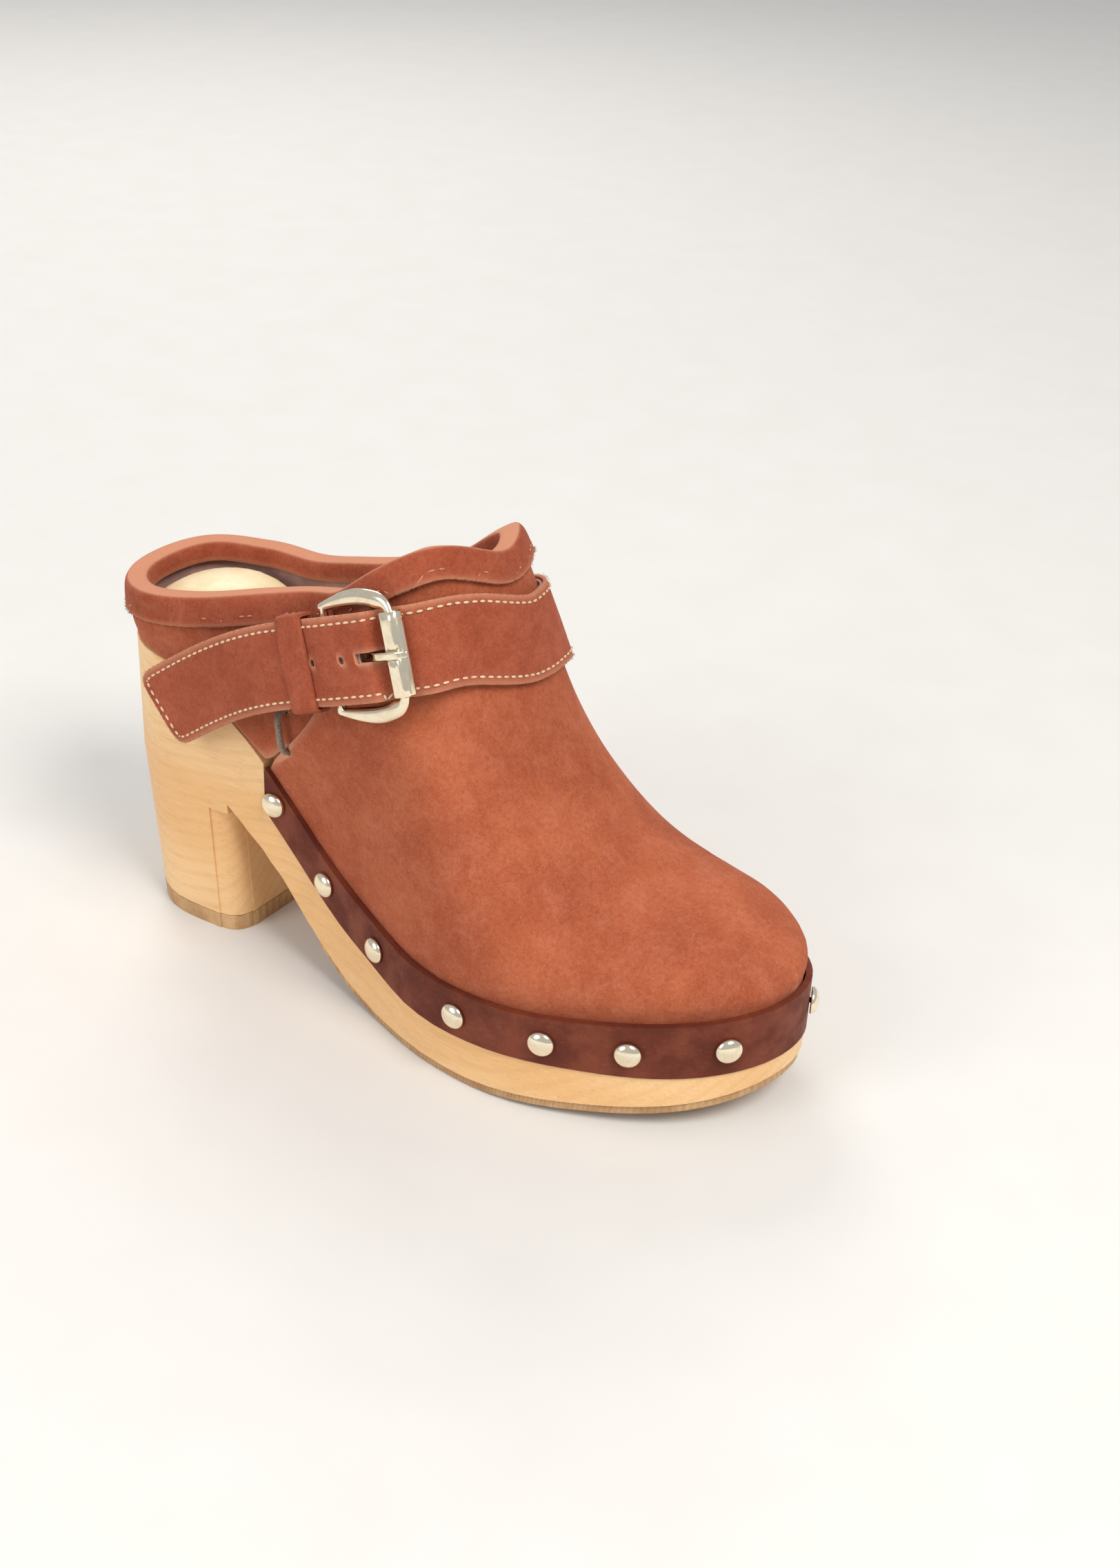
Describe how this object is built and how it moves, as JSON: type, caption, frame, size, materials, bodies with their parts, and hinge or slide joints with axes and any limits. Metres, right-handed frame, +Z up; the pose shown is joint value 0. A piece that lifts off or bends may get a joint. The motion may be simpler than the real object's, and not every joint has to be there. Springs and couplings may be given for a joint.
{
  "type": "heeled wooden clog",
  "caption": "Closed-toe clog with a carved wooden sole and block heel, a suede upper nailed on under a rand, and an instep strap with a buckle.",
  "frame": {"origin": "middle of the shoe's footprint box, on the ground", "axes": "+Z up, -Y towards the toe, -X towards the outer side of the foot"},
  "size_m": [0.1002, 0.255, 0.1688],
  "materials": {
    "wood": "fine-sanded pale wood under a thin satin oil",
    "rubber": "matt, slightly translucent tan rubber",
    "cream_leather": "smooth cream leather",
    "upper_suede": "napped rust-brown suede",
    "strap_suede": "napped rust-brown suede, raw cut edges",
    "rand_leather": "smooth dark red-brown leather, waxed",
    "lining_leather": "matt mauve-brown split leather",
    "brass": "polished pale gold plate",
    "waxed_cord": "braided waxed cord"
  },
  "bodies": {
    "shoe": {"wooden_sole": "wood", "forepart_outsole": "rubber", "heel_top_piece": "rubber", "footbed": "cream_leather", "footbed_sock": "cream_leather", "vamp": "upper_suede", "quarter": "upper_suede", "vamp_lining": "lining_leather", "quarter_lining": "lining_leather", "topline_binding": "strap_suede", "rand": "rand_leather", "strap": "strap_suede", "strap_backing": "lining_leather", "buckle_chape": "strap_suede", "corner_tack": "waxed_cord", "stud_01": "brass", "stud_02": "brass", "stud_03": "brass", "stud_04": "brass", "stud_05": "brass", "stud_06": "brass", "stud_07": "brass", "stud_08": "brass", "stud_09": "brass", "stud_10": "brass", "stud_11": "brass", "stud_12": "brass", "stud_13": "brass", "stud_14": "brass", "stud_15": "brass"},
    "keeper": {"keeper_loop": "strap_suede"},
    "buckle": {"buckle_frame": "brass", "buckle_sleeve": "brass"},
    "prong": {"buckle_prong": "brass"}
  },
  "joints": [
    {"name": "buckle_swing", "type": "hinge", "parent": "shoe", "child": "buckle", "pos_m": [-0.04063, 0.01673, 0.13097], "axis": [-0.1625, -0.3688, -0.9152], "range_deg": [0, 3]},
    {"name": "prong_pivot", "type": "hinge", "parent": "buckle", "child": "prong", "pos_m": [-0.04063, 0.01673, 0.13097], "axis": [-0.1625, -0.3688, -0.9152], "range_deg": [0, 3]},
    {"name": "keeper_slide", "type": "slide", "parent": "shoe", "child": "keeper", "axis": [-0.0294, 0.9289, -0.3691], "range_m": [0, 0.005]}
  ]
}
